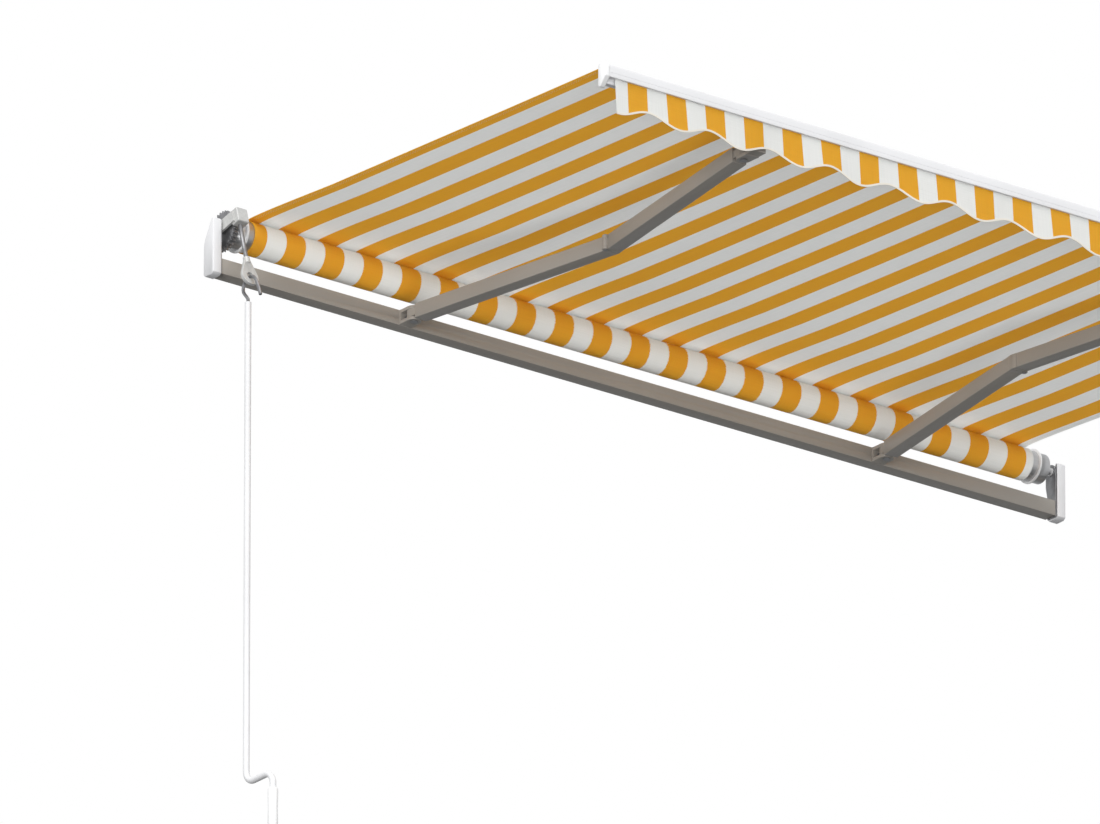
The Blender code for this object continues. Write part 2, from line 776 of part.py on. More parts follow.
class Link:
    """Half an arm in plan: places are (along its tube, inward) from its outer pivot."""

    def __init__(self, side, reach, heading):
        self.pivot = (side * SHOULDER_X, reach)
        self.along = (-side * math.sin(TUBE_SPLAY), heading * math.cos(TUBE_SPLAY))
        self.inward = (-side * math.cos(TUBE_SPLAY), -heading * math.sin(TUBE_SPLAY))

    def plan(self, along, inward=0.0):
        x = self.pivot[0] + along * self.along[0] + inward * self.inward[0]
        reach = self.pivot[1] + along * self.along[1] + inward * self.inward[1]
        return (x, reach)

    def place(self, along, inward, height):
        return at(*self.plan(along, inward), height)

    def axes(self):
        """Y along the tube and Z up."""
        forward = Vector((self.along[0], -self.along[1], 0))
        return Matrix((forward.cross(Vector((0, 0, 1))), forward, Vector((0, 0, 1)))).transposed()

    def plate(self, name, outline, heights, look):
        """An extruded plan outline whose origin is on the link's outer pivot."""
        x, reach = self.pivot
        local = [(a - x, b - reach) for a, b in (self.plan(*point) for point in outline)]
        middle = at(x, reach, sum(heights) / 2)
        return prism(name, local, heights[1] - heights[0], look, middle, PLAN)

    def bar(self, name, radius, point, heights, look, segments=20):
        ends = [self.place(*point, height) for height in heights]
        return cylinder(name, radius, *ends, look, segments)


def rectangle(low, high, half):
    return [(low, -half), (high, -half), (high, half), (low, half)]


ELBOW = (TUBE_REACH, -ELBOW_OFFSET)
PLUG_HALF = ARM_WIDTH / 2 - ARM_WALL - GAP
PLUG_HEIGHTS = (ARM_HEIGHTS[0] + ARM_WALL + GAP, ARM_HEIGHTS[1] - ARM_WALL - GAP)


def arm_tube(link, name):
    end = TUBE_REACH - TUBE_SHORT_OF_ELBOW
    middle = link.place((TUBE_START + end) / 2, 0, sum(ARM_HEIGHTS) / 2)
    size = (ARM_WIDTH, ARM_HEIGHTS[1] - ARM_HEIGHTS[0])
    return sleeve(name, size, end - TUBE_START, ARM_WALL, TAUPE, middle, link.axes())


def arm_end(link, name):
    """A casting in the tube's outer end, with the middle lug of the shoulder or front hinge."""
    low, high = TUBE_START + 0.002, TUBE_START + PLUG_IN_TUBE
    plug = link.plate(name, rectangle(low, high, PLUG_HALF), PLUG_HEIGHTS, TAUPE)
    lug = arc((0, 0), LUG_R - 0.001, 90, 270, 14)
    lug += [(low + 0.01, -LUG_R + 0.003), (low + 0.01, LUG_R - 0.003)]
    join(plug, link.plate(name + "_lug", lug, MIDDLE, TAUPE))
    way = link.bar(name + "_hole", PIN_R + PIN_CLEARANCE, (0, 0), (-0.06, 0.02), TAUPE, 24)
    return cut(plug, way)


def elbow_piece(link, name, lugs, notches):
    """A casting in the tube's inner end, mitred where the two halves meet."""
    start = TUBE_REACH - TUBE_SHORT_OF_ELBOW + GAP
    half = ARM_WIDTH / 2
    slope = math.tan(TUBE_SPLAY)

    def mitre(inward):
        return TUBE_REACH + (inward + ELBOW_OFFSET) * slope - 2 * GAP

    head = [(start, -half), (mitre(-half), -half), (mitre(half), half), (start, half)]
    piece = link.plate(name, head, ARM_HEIGHTS, TAUPE)
    low = start - PLUG_IN_TUBE
    plug = link.plate(
        name + "_plug", rectangle(low, start + 0.004, PLUG_HALF), PLUG_HEIGHTS, TAUPE
    )
    join(piece, plug)
    for i, heights in enumerate(notches):
        cut(piece, link.bar(f"{name}_notch_{i}", ELBOW_NOTCH_R, ELBOW, heights, TAUPE, 24))
    for i, heights in enumerate(lugs):
        join(piece, link.bar(f"{name}_lug_{i}", ELBOW_LUG_R, ELBOW, heights, TAUPE, 24))
    hole_r = ELBOW_PIN_R + PIN_CLEARANCE
    return cut(piece, link.bar(name + "_hole", hole_r, ELBOW, (-0.06, 0.02), TAUPE, 16))


def pin(name, place_on, radius, low, high, head):
    """A pin with a head at each end, standing upright."""
    start = Vector(place_on)
    start.z = high - ORIGIN_HEIGHT
    length = high - low
    profile = [
        (0, -PIN_HEAD),
        (head, -PIN_HEAD),
        (head, 0),
        (radius, 0),
        (radius, length),
        (head, length),
        (head, length + PIN_HEAD),
        (0, length + PIN_HEAD),
    ]
    return turned(name, profile, start, (0, 0, -1), ZINC, 20)


def clevis(name, x, pivot_reach, base_reach, column=None):
    """Two lugs on a base, above and below the arm's lug."""
    toward = math.copysign(1, base_reach - pivot_reach)
    far = base_reach + toward * BASE_THICK
    root = base_reach + toward * BASE_THICK / 2 - pivot_reach
    width = LUG_R - 0.0005
    lug = [(-width, root), (width, root)]
    first = (0, 180) if toward < 0 else (0, -180)
    lug += arc((0, 0), width, *first, 14)
    base_low, base_high = sorted((base_reach, far))
    top = column or ARM_HEIGHTS[1]
    base = box(
        name,
        at(x - LUG_R, base_low, ARM_HEIGHTS[0]),
        at(x + LUG_R, base_high, top),
        TAUPE,
    )
    for part, heights in (("low", LOW_LUG), ("top", TOP_LUG)):
        middle = at(x, pivot_reach, sum(heights) / 2)
        thick = heights[1] - heights[0]
        join(base, prism(f"{name}_{part}", lug, thick, TAUPE, middle, PLAN))
    ends = (at(x, pivot_reach, -0.06), at(x, pivot_reach, 0.02))
    return cut(base, cylinder(name + "_hole", PIN_R + PIN_CLEARANCE, *ends, TAUPE, 24))


def arm_spring(link, name):
    """A tension spring in the upper arm, drawn out as the arm is held open by it."""
    start = TUBE_START + PLUG_IN_TUBE + 0.010
    steps = 9 * SPRING_TURNS
    points = []
    for i in range(steps + 1):
        turn = 2 * math.pi * i / 9
        along = start + SPRING_LENGTH * i / steps
        height = sum(ARM_HEIGHTS) / 2 + SPRING_COIL_R * math.sin(turn)
        points.append(link.place(along, SPRING_COIL_R * math.cos(turn), height))
    return wire(name, points, SPRING_WIRE_R, ZINC, 1)


def arm_cable(link, name):
    start = TUBE_START + PLUG_IN_TUBE + 0.010 + SPRING_LENGTH + 0.006
    end = TUBE_REACH - TUBE_SHORT_OF_ELBOW - PLUG_IN_TUBE - 0.004
    height = sum(ARM_HEIGHTS) / 2
    ends = (link.place(start, 0, height), link.place(end, 0, height))
    return cylinder(name, CABLE_R, *ends, ZINC, 10)


def arm(name, side):
    shoulder = at(side * SHOULDER_X, SHOULDER_REACH, 0)
    upper = Link(side, SHOULDER_REACH, 1)
    fore = Link(side, FRONT_PIVOT_REACH, -1)
    gap_low, gap_high = MIDDLE[0] - 0.0005, MIDDLE[1] + 0.0005
    x = side * SHOULDER_X
    bracket = clevis(f"shoulder_bracket_{name}", x, SHOULDER_REACH, BASE_THICK + GAP)
    way = (at(x, -0.01, -BAR_SIZE / 2), at(x, 0.015, -BAR_SIZE / 2))
    cut(bracket, cylinder(f"bolt_way_shoulder_{name}", BOLT_HOLE_R, *way, TAUPE, 16))
    head = at(x, BASE_THICK + 2 * GAP + BOLT_HEAD_LENGTH, -BAR_SIZE / 2)
    bolt(f"shoulder_bolt_{name}", head, (0, 1, 0), 0.024)
    pin(f"shoulder_pin_{name}", shoulder, PIN_R, -0.0431, -0.0009, 0.0110)
    upper_pieces = [
        arm_tube(upper, f"upper_arm_tube_{name}"),
        arm_end(upper, f"upper_arm_shoulder_end_{name}"),
        elbow_piece(
            upper, f"elbow_fork_{name}", (LOW_LUG, TOP_LUG), ((gap_low, gap_high),)
        ),
        pin(f"elbow_pin_{name}", upper.place(*ELBOW, 0), ELBOW_PIN_R, -0.0433, -0.0007, 0.0065),
        arm_spring(upper, f"arm_spring_{name}"),
        arm_cable(upper, f"arm_cable_{name}"),
    ]
    notches = ((-0.06, LOW_LUG[1] + 0.0005), (TOP_LUG[0] - 0.0005, 0.02))
    fore_pieces = [
        arm_tube(fore, f"forearm_tube_{name}"),
        elbow_piece(fore, f"elbow_knuckle_{name}", (MIDDLE,), notches),
        arm_end(fore, f"forearm_front_end_{name}"),
    ]
    hang_on(f"shoulder_axis_{name}", shoulder, upper_pieces)
    elbow_place = upper.place(*ELBOW, 0)
    hang_on(f"elbow_axis_{name}", elbow_place, fore_pieces)


# The front bar and the cloth


def front_bar():
    rear, front = FRONT_REACH
    step = rear + 0.018
    outline = [(rear, 0.025), (step, 0.025), (step, 0.041), (front, 0.041)]
    outline += [(front, 0.0705), (front - 0.008, 0.0785), (rear, 0.0785)]
    w = FRONT_WALL
    inside = [(rear + w, 0.025 + w), (step - w, 0.025 + w), (step - w, 0.041 + w)]
    inside += [(front - w, 0.041 + w), (front - w, 0.0695), (front - 0.0089, 0.0785 - w)]
    inside += [(rear + w, 0.0785 - w)]
    size = 2 * FRONT_HALF
    made = prism("front_bar", outline, size, WHITE, at(0, 0, 0), SIDE, [inside])
    return softened(made, 0.0015, 1)


def front_cap(name, side):
    rear, front = FRONT_REACH
    outline = [(rear, 0.017), (rear + 0.010, 0.014), (front - 0.010, 0.030)]
    outline += [(front + 0.001, 0.042), (front + 0.001, 0.0725), (front - 0.008, 0.0825)]
    outline += [(rear + 0.004, 0.0825), (rear, 0.077)]
    x = side * (FRONT_HALF + GAP + CAP_THICK / 2)
    made = prism(f"front_bar_cap_{name}", outline, CAP_THICK, PLASTIC, at(x, 0, 0), SIDE)
    return softened(made, 0.0020, 2)


def front_bracket(name, side):
    x = side * SHOULDER_X
    base_reach = FRONT_PIVOT_REACH + SHOULDER_REACH - BASE_THICK
    bracket = clevis(f"front_bracket_{name}", x, FRONT_PIVOT_REACH, base_reach)
    rear = FRONT_REACH[0]
    column = box(
        f"bracket_column_{name}",
        at(x - LUG_R + 0.0010, base_reach + BASE_THICK / 3, ARM_HEIGHTS[0] + 0.0015),
        at(x + LUG_R - 0.0010, rear + 0.017, 0.025 - GAP),
        TAUPE,
    )
    join(bracket, column)
    place_on = at(x, FRONT_PIVOT_REACH, 0)
    return [bracket, pin(f"front_pin_{name}", place_on, PIN_R, -0.0431, -0.0009, 0.0110)]


def canopy():
    """The drawn-out cloth, from the top of the roll to the back of the front bar."""
    low = ROLLER_HEIGHT + CLOTH_R + 0.0004
    rear, front = ROLLER_REACH, FRONT_REACH[0] - GAP
    outline = [(rear, low), (front, CANOPY_FRONT_HEIGHT)]
    outline += [(front, CANOPY_FRONT_HEIGHT + CANOPY_THICK), (rear, low + CANOPY_THICK)]
    return prism("canopy", outline, 2 * CLOTH_HALF, CANVAS, at(0, 0, 0), SIDE)


def valance():
    """The hanging front edge of the cloth, cut in waves."""
    outline = [(VALANCE_HALF, 0), (-VALANCE_HALF, 0)]
    count = round(2 * VALANCE_HALF / WAVE_LENGTH * POINTS_A_WAVE)
    for i in range(count + 1):
        x = -VALANCE_HALF + 2 * VALANCE_HALF * i / count
        wave = math.cos(2 * math.pi * (x - WAVE_LOW_X) / WAVE_LENGTH)
        outline.append((x, -VALANCE_DROP - WAVE_DEPTH * wave))
    axes = Matrix.Rotation(-VALANCE_LEAN, 3, "X") @ FRONT
    place_on = at(0, VALANCE_REACH, VALANCE_TOP)
    return prism("valance", outline, VALANCE_THICK, CANVAS, place_on, axes)


def main():
    torsion_bar()
    for name, x in BRACKET_X.items():
        wall_bracket(name, x)
    roller_pieces = [
        ring("roller_tube", ROLLER_R, ROLLER_R - ROLLER_WALL, ROLLER_HALF, ALUMINIUM, 40),
        ring("cloth_roll", CLOTH_R, ROLLER_R + GAP, CLOTH_HALF, CANVAS, 48),
        worm_wheel(),
    ]
    front_pieces = [front_bar(), valance()]
    for name, side in (("left", -1), ("right", 1)):
        side_plate(name, side)
        side_cover(name, side)
        roller_pieces.append(roller_plug(name, side))
        arm(name, side)
        front_pieces.append(front_cap(name, side))
        front_pieces += front_bracket(name, side)
    worm_housing()
    canopy()
    hang_on("roller_axis", at(0, ROLLER_REACH, ROLLER_HEIGHT), roller_pieces)
    meeting, _ = gear_frame()
    hang_on("worm_axis", meeting, [worm_shaft(), shaft_eye()])
    hang_on("crank_axis", hook_pivot(), [crank_hook(), crank_rod(), crank_grip()])
    front_axis = at(-SHOULDER_X, FRONT_PIVOT_REACH, 0)
    hang_on("front_pivot_axis", front_axis, front_pieces)


main()
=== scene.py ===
# %% [markdown]
# # A folding-arm awning: the finish
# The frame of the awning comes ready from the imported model, with every piece at its real place.
# This script gives each piece its surface: powder coat on the steel, zinc on the bolts, and a
# woven, striped cloth that hangs from a front bar. Every piece rides on the body that moves it.

import json
import math

import bmesh
import bpy
from mathutils import Matrix, Vector


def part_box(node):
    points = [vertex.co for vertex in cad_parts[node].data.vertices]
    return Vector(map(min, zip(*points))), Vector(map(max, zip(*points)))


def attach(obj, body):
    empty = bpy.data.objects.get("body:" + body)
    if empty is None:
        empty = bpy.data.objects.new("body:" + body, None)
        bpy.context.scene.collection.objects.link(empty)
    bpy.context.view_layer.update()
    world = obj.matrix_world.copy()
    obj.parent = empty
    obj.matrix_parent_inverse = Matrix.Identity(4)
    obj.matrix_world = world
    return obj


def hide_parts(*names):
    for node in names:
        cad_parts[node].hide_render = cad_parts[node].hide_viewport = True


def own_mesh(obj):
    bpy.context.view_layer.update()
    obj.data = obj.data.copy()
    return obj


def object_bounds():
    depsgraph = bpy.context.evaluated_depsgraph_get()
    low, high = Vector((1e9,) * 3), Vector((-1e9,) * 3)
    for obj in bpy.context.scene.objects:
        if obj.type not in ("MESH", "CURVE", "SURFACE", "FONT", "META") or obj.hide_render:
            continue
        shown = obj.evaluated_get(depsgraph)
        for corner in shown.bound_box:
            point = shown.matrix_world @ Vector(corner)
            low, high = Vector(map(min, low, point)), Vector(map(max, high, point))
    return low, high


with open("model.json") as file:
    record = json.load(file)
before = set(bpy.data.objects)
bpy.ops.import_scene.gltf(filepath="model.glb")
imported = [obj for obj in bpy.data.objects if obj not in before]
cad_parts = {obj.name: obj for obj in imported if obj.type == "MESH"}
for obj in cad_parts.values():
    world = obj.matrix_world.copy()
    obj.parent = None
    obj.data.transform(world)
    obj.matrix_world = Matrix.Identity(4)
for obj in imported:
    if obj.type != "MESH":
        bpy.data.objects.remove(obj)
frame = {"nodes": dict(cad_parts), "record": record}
cad_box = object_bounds()


# %% [markdown]
# ## The camera
# The awning is seen from its left, in front and below, with its long edges staying parallel. A
# very long lens from far away draws parallel lines almost parallel, and still lets other views
# be framed by the same camera.

# %% Camera
VIEW_TURN = math.radians(-37.72)
VIEW_RISE = math.radians(21.97)
VIEW_DISTANCE = 84.0
LENS_MM = 1000
AIM = Vector((-0.3230, -0.085, -0.1819))


def add_camera():
    looking = Vector(
        (
            -math.sin(VIEW_TURN) * math.cos(VIEW_RISE),
            math.cos(VIEW_TURN) * math.cos(VIEW_RISE),
            math.sin(VIEW_RISE),
        )
    )
    data = bpy.data.cameras.new("camera")
    data.lens = LENS_MM
    data.sensor_width = 36
    data.clip_start = 1.0
    data.clip_end = 400.0
    camera = bpy.data.objects.new("camera", data)
    bpy.context.scene.collection.objects.link(camera)
    camera.location = AIM - looking * VIEW_DISTANCE
    camera.rotation_mode = "QUATERNION"
    camera.rotation_quaternion = looking.to_track_quat("-Z", "Y")
    bpy.context.scene.camera = camera


add_camera()
bpy.context.scene.view_settings.view_transform = "Standard"
print("camera at", tuple(round(v, 2) for v in bpy.context.scene.camera.location))


# %% [markdown]
# ## Building materials in steps
# Each finish is a small tree of nodes. A helper class adds nodes and wires them, so that each
# finish reads as a list of steps: a colour that drifts a little, a roughness that drifts with it,
# and a height that becomes bump.

# %% A helper for node trees


class Finish:
    """A material with a Principled shader, and short ways to add nodes to it."""

    def __init__(self, name, roughness, metallic=0.0):
        self.material = bpy.data.materials.new(name)
        self.material.use_nodes = True
        self.nodes = self.material.node_tree.nodes
        self.links = self.material.node_tree.links
        self.shader = self.nodes["Principled BSDF"]
        self.shader.inputs["Roughness"].default_value = roughness
        self.shader.inputs["Metallic"].default_value = metallic
        self.place = self.nodes.new("ShaderNodeTexCoord").outputs["Object"]

    def join(self, source, target):
        self.links.new(source, target)

    def maths(self, operation, a, b=0.0, c=0.0):
        node = self.nodes.new("ShaderNodeMath")
        node.operation = operation
        for socket, value in zip(node.inputs, (a, b, c)):
            if hasattr(value, "is_output"):
                self.join(value, socket)
            else:
                socket.default_value = value
        return node.outputs[0]

    def noise(self, scale, detail=3.0, stretch=None):
        node = self.nodes.new("ShaderNodeTexNoise")
        node.inputs["Scale"].default_value = scale
        node.inputs["Detail"].default_value = detail
        source = self.place
        if stretch:
            mapping = self.nodes.new("ShaderNodeMapping")
            mapping.inputs["Scale"].default_value = stretch
            self.join(self.place, mapping.inputs["Vector"])
            source = mapping.outputs[0]
        self.join(source, node.inputs["Vector"])
        return node.outputs[0]

    def ramp(self, source, *stops):
        node = self.nodes.new("ShaderNodeValToRGB")
        elements = node.color_ramp.elements
        while len(elements) < len(stops):
            elements.new(0.5)
        for element, (where, colour) in zip(elements, stops):
            element.position = where
            element.color = (*colour, 1.0)
        self.join(source, node.inputs[0])
        return node.outputs[0]

    def mix(self, share, first, second):
        node = self.nodes.new("ShaderNodeMix")
        node.data_type = "RGBA"
        sockets = (node.inputs[0], node.inputs[6], node.inputs[7])
        for socket, value in zip(sockets, (share, first, second)):
            if hasattr(value, "is_output"):
                self.join(value, socket)
            elif isinstance(value, tuple):
                socket.default_value = (*value, 1.0)
            else:
                socket.default_value = value
        return node.outputs[2]

    def colour(self, source):
        self.join(source, self.shader.inputs["Base Color"])

    def roughness(self, source, low, high):
        node = self.nodes.new("ShaderNodeMapRange")
        node.inputs["To Min"].default_value = low
        node.inputs["To Max"].default_value = high
        self.join(source, node.inputs["Value"])
        self.join(node.outputs[0], self.shader.inputs["Roughness"])

    def bump(self, height, distance, strength=1.0):
        node = self.nodes.new("ShaderNodeBump")
        node.inputs["Distance"].default_value = distance
        node.inputs["Strength"].default_value = strength
        self.join(height, node.inputs["Height"])
        self.join(node.outputs[0], self.shader.inputs["Normal"])


# %% [markdown]
# ## Powder coat, plastic and bare metal
# Powder coat is a baked plastic skin: even in colour, with a very fine orange-peel surface.
# Zinc plate is darker and shinier, with a faint cloudy bloom. Drawn aluminium shows fine lines
# along its length, which come from a noise that is stretched 160 times along X.

# %% Hard finishes


def powder_coat(name, colour, roughness=0.42):
    finish = Finish(name, roughness)
    drift = finish.noise(3.0, 4.0)
    dark = tuple(c * 0.94 for c in colour)
    light = tuple(min(c * 1.04, 1.0) for c in colour)
    finish.colour(finish.ramp(drift, (0.3, dark), (0.7, light)))
    finish.roughness(finish.noise(60.0, 2.0), roughness - 0.06, roughness + 0.08)
    finish.bump(finish.noise(900.0, 2.0), 0.00012, 0.5)
    return finish.material


def moulded_plastic(name, colour, roughness=0.5):
    finish = Finish(name, roughness)
    drift = finish.noise(9.0, 2.0)
    dark = tuple(c * 0.96 for c in colour)
    finish.colour(finish.ramp(drift, (0.35, dark), (0.65, colour)))
    finish.bump(finish.noise(2400.0, 1.0), 0.00005, 0.5)
    return finish.material


def plated_steel(name, colour, roughness=0.38):
    finish = Finish(name, roughness, 0.85)
    cloud = finish.noise(55.0, 5.0)
    dark = tuple(c * 0.78 for c in colour)
    finish.colour(finish.ramp(cloud, (0.35, dark), (0.65, colour)))
    finish.roughness(cloud, roughness - 0.08, roughness + 0.12)
    finish.bump(finish.noise(700.0, 3.0), 0.00008, 0.5)
    return finish.material


def drawn_aluminium(name, colour, roughness=0.34):
    finish = Finish(name, roughness, 0.9)
    lines = finish.noise(9.0, 3.0, (1.0, 160.0, 160.0))
    dark = tuple(c * 0.86 for c in colour)
    finish.colour(finish.ramp(lines, (0.3, dark), (0.7, colour)))
    finish.roughness(lines, roughness - 0.05, roughness + 0.1)
    finish.bump(lines, 0.00006, 0.4)
    return finish.material


def die_casting(name, colour, roughness=0.5):
    finish = Finish(name, roughness, 0.2)
    cloud = finish.noise(130.0, 4.0)
    dark = tuple(c * 0.86 for c in colour)
    finish.colour(finish.ramp(cloud, (0.3, dark), (0.7, colour)))
    finish.bump(cloud, 0.0002, 0.35)
    return finish.material


FINISHES = {
    "taupe_paint": powder_coat("taupe_powder_coat", (0.350, 0.325, 0.292)),
    "white_paint": powder_coat("white_powder_coat", (0.78, 0.78, 0.79), 0.36),
    "white_plastic": moulded_plastic("white_moulded_plastic", (0.90, 0.90, 0.90)),
    "zinc_steel": plated_steel("zinc_plate", (0.34, 0.34, 0.35)),
    "aluminium": drawn_aluminium("drawn_aluminium", (0.66, 0.66, 0.665)),
    "grey_casting": die_casting("grey_die_casting", (0.60, 0.60, 0.585)),
}
print("hard finishes", len(FINISHES))


# %% [markdown]
# ## The cloth
# Awning cloth is woven from dyed threads, so a stripe is a change of thread and not a print. The
# pattern follows a map on the cloth itself, in metres: across the stripes and along the run. The
# same map drives the stripe, the weave and the slow unevenness of the threads. A little
# subsurface light lets the thin cloth glow when the sun is behind it.

# %% Cloth finish
STRIPE = 0.0663
GLOW_DEPTH = 0.003
ORANGE = (0.800, 0.372, 0.029)
OFF_WHITE = (0.860, 0.868, 0.835)
THREAD = 0.0011


def cloth_finish(name, first_orange, painted_shade_scale=1.0):
    """Striped cloth. One orange stripe starts at first_orange, in metres across. The last argument
    darkens the whole colour evenly, as painted shade.
    """
    finish = Finish(name, 0.88)
    mapped = finish.nodes.new("ShaderNodeUVMap")
    mapped.uv_map = "cloth"
    split = finish.nodes.new("ShaderNodeSeparateXYZ")
    finish.join(mapped.outputs[0], split.inputs[0])
    across, along = split.outputs[0], split.outputs[1]
    finish.place = mapped.outputs[0]
    threads = finish.noise(1.0, 2.0, (1400.0, 40.0, 1.0))
    wander = finish.maths("MULTIPLY_ADD", threads, 0.0006, -0.0003)
    moved = finish.maths("ADD", across, wander)
    turns = finish.maths("MULTIPLY_ADD", moved, 0.5 / STRIPE, -first_orange * 0.5 / STRIPE)
    share = finish.maths("FRACT", turns)
    white = finish.maths("GREATER_THAN", share, 0.5)
    plain = finish.mix(white, ORANGE, OFF_WHITE)
    slub = finish.noise(1.0, 3.0, (900.0, 6.0, 1.0))
    cross = finish.noise(1.0, 3.0, (6.0, 900.0, 1.0))
    uneven = finish.maths("ADD", slub, cross)
    shade = finish.maths("MULTIPLY_ADD", uneven, 0.16, 0.84)
    cloud = finish.maths("MULTIPLY_ADD", finish.noise(5.0, 3.0), 0.07, 0.965)
    # the last factor scales the whole cloth down evenly: below 1 it is painted shade
    tone = finish.maths("MULTIPLY", shade, finish.maths("MULTIPLY", cloud, painted_shade_scale))
    toned = finish.nodes.new("ShaderNodeVectorMath")
    toned.operation = "SCALE"
    finish.join(plain, toned.inputs[0])
    finish.join(tone, toned.inputs["Scale"])
    finish.colour(toned.outputs[0])
    turn = 2 * math.pi / THREAD
    warp = finish.maths("SINE", finish.maths("MULTIPLY", across, turn))
    weft = finish.maths("SINE", finish.maths("MULTIPLY", along, turn))
    finish.bump(finish.maths("MULTIPLY", warp, weft), 0.00012, 0.7)
    finish.shader.inputs["Specular IOR Level"].default_value = 0.12
    finish.shader.inputs["Subsurface Weight"].default_value = 0.7
    finish.shader.inputs["Subsurface Radius"].default_value = (1.0, 1.0, 1.0)
    finish.shader.inputs["Subsurface Scale"].default_value = GLOW_DEPTH
    return finish.material


CANOPY_CLOTH = cloth_finish("canopy_cloth", -1.2517)
# The valance is the same cloth as the canopy, drawn at 0.84 of its colour. This is painted shade,
# standing in for the stronger light the lamps give it.
VALANCE_CLOTH = cloth_finish("valance_cloth", -1.2860, 0.84)
THREAD_FINISH = moulded_plastic("sewing_thread", (0.72, 0.70, 0.64), 0.8)
BINDING = moulded_plastic("cream_binding", (0.78, 0.74, 0.66), 0.85)
print("cloth in stripes of", round(STRIPE * 1000, 1), "mm")


# %% [markdown]
# ## Softening the edges of the frame
# A sawn tube or a cast lug never has a perfectly sharp edge: a small round catches the light and
# tells the eye how big the piece is. Each frame piece is copied, its loose triangles are joined,
# and flat ones are merged. Square pieces get a small bevel round their edges, and round ones
# need only smooth shading.

# %% Refine the frame's pieces
SLOT_OF = {s["node"]: s["material_slot"] for s in frame["record"]["subparts"]}
BODY_OF = {
    node: body for body, nodes in frame["record"]["behaviour"]["bodies"].items() for node in nodes
}
EDGE_WIDTHS = {
    "torsion_bar": 0.0016,
    "upper_arm_tube": 0.0016,
    "forearm_tube": 0.0016,
    "elbow_fork": 0.0008,
    "elbow_knuckle": 0.0008,
    "shoulder_bracket": 0.0008,
    "front_bracket": 0.0008,
    "wall_bracket": 0.0008,
    "side_plate": 0.0005,
    "worm_wheel": 0.0004,
}
SOFT_NODES = ("canopy", "cloth_roll", "valance", "front_bar", "crank_rod", "crank_hook")


def new_piece(name, mesh, look, body, slot, *replaced):
    """A finished mesh becomes a piece that rides on a body and stands for CAD nodes."""
    mesh.materials.clear()
    mesh.materials.append(look)
    piece = bpy.data.objects.new(name, mesh)
    bpy.context.scene.collection.objects.link(piece)
    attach(piece, body)
    if replaced:
        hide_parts(*replaced)
    return piece


def baked(source):
    """The evaluated mesh of an object, which is then removed."""
    bpy.context.view_layer.update()
    graph = bpy.context.evaluated_depsgraph_get()
    mesh = bpy.data.meshes.new_from_object(source.evaluated_get(graph))
    bpy.data.objects.remove(source, do_unlink=True)
    return mesh


def loose(name, mesh):
    """An object that modifiers work on for a moment, before it is baked."""
    thing = bpy.data.objects.new(name, mesh)
    bpy.context.scene.collection.objects.link(thing)
    return thing


def smooth(mesh, degrees=35):
    mesh.shade_smooth()
    mesh.set_sharp_from_angle(angle=math.radians(degrees))
    return mesh


def refined(node):
    """A cleaner copy of a frame piece, in the finish of its slot."""
    width = next((w for start, w in EDGE_WIDTHS.items() if node.startswith(start)), 0.0)
    bm = bmesh.new()
    bm.from_mesh(frame["nodes"][node].data)
    bmesh.ops.remove_doubles(bm, verts=bm.verts[:], dist=1e-6)
    bmesh.ops.dissolve_limit(
        bm, angle_limit=math.radians(0.5), verts=bm.verts[:], edges=bm.edges[:]
    )
    mesh = bpy.data.meshes.new(node + "_fine")
    bm.to_mesh(mesh)
    bm.free()
    if width:
        thing = loose(node + "_raw", mesh)
        bevel = thing.modifiers.new("Edge", "BEVEL")
        bevel.width = width
        bevel.segments = 2
        bevel.limit_method = "ANGLE"
        bevel.angle_limit = math.radians(50)
        mesh = baked(thing)
    smooth(mesh)
    slot = SLOT_OF[node]
    return new_piece(node + "_fine", mesh, FINISHES[slot], BODY_OF[node], slot, node)


for node in sorted(frame["nodes"]):
    if node not in SOFT_NODES:
        refined(node)
print("frame pieces refined", len(frame["nodes"]) - len(SOFT_NODES))


# %% [markdown]
# ## A sheet made from a rule
# Both the drawn-out cloth and the valance are grids whose points follow a formula. The grid
# carries its own map in metres, and Solidify gives it the thickness of the cloth.

# %% Sheets
CLOTH_THICK = 0.0007


def sheet_mesh(name, columns, rows, point, cloth_map, thickness=CLOTH_THICK):
    """A grid of points (x, y, z) at shares 0 to 1 across and along, given a thickness."""
    bm = bmesh.new()
    layer = bm.loops.layers.uv.new("cloth")
    grid = []
    for j in range(rows + 1):
        line = [bm.verts.new(point(i / columns, j / rows)) for i in range(columns + 1)]
        grid.append(line)
    for j in range(rows):
        for i in range(columns):
            corners = ((i, j), (i + 1, j), (i + 1, j + 1), (i, j + 1))
            face = bm.faces.new([grid[b][a] for a, b in corners])
            for loop, (a, b) in zip(face.loops, corners):
                loop[layer].uv = cloth_map(a / columns, b / rows)
    bmesh.ops.recalc_face_normals(bm, faces=bm.faces[:])
    mesh = bpy.data.meshes.new(name)
    bm.to_mesh(mesh)
    bm.free()
    thing = loose(name + "_raw", mesh)
    wall = thing.modifiers.new("Thickness", "SOLIDIFY")
    wall.thickness = thickness
    wall.offset = 0.0
    return smooth(baked(thing), 60)
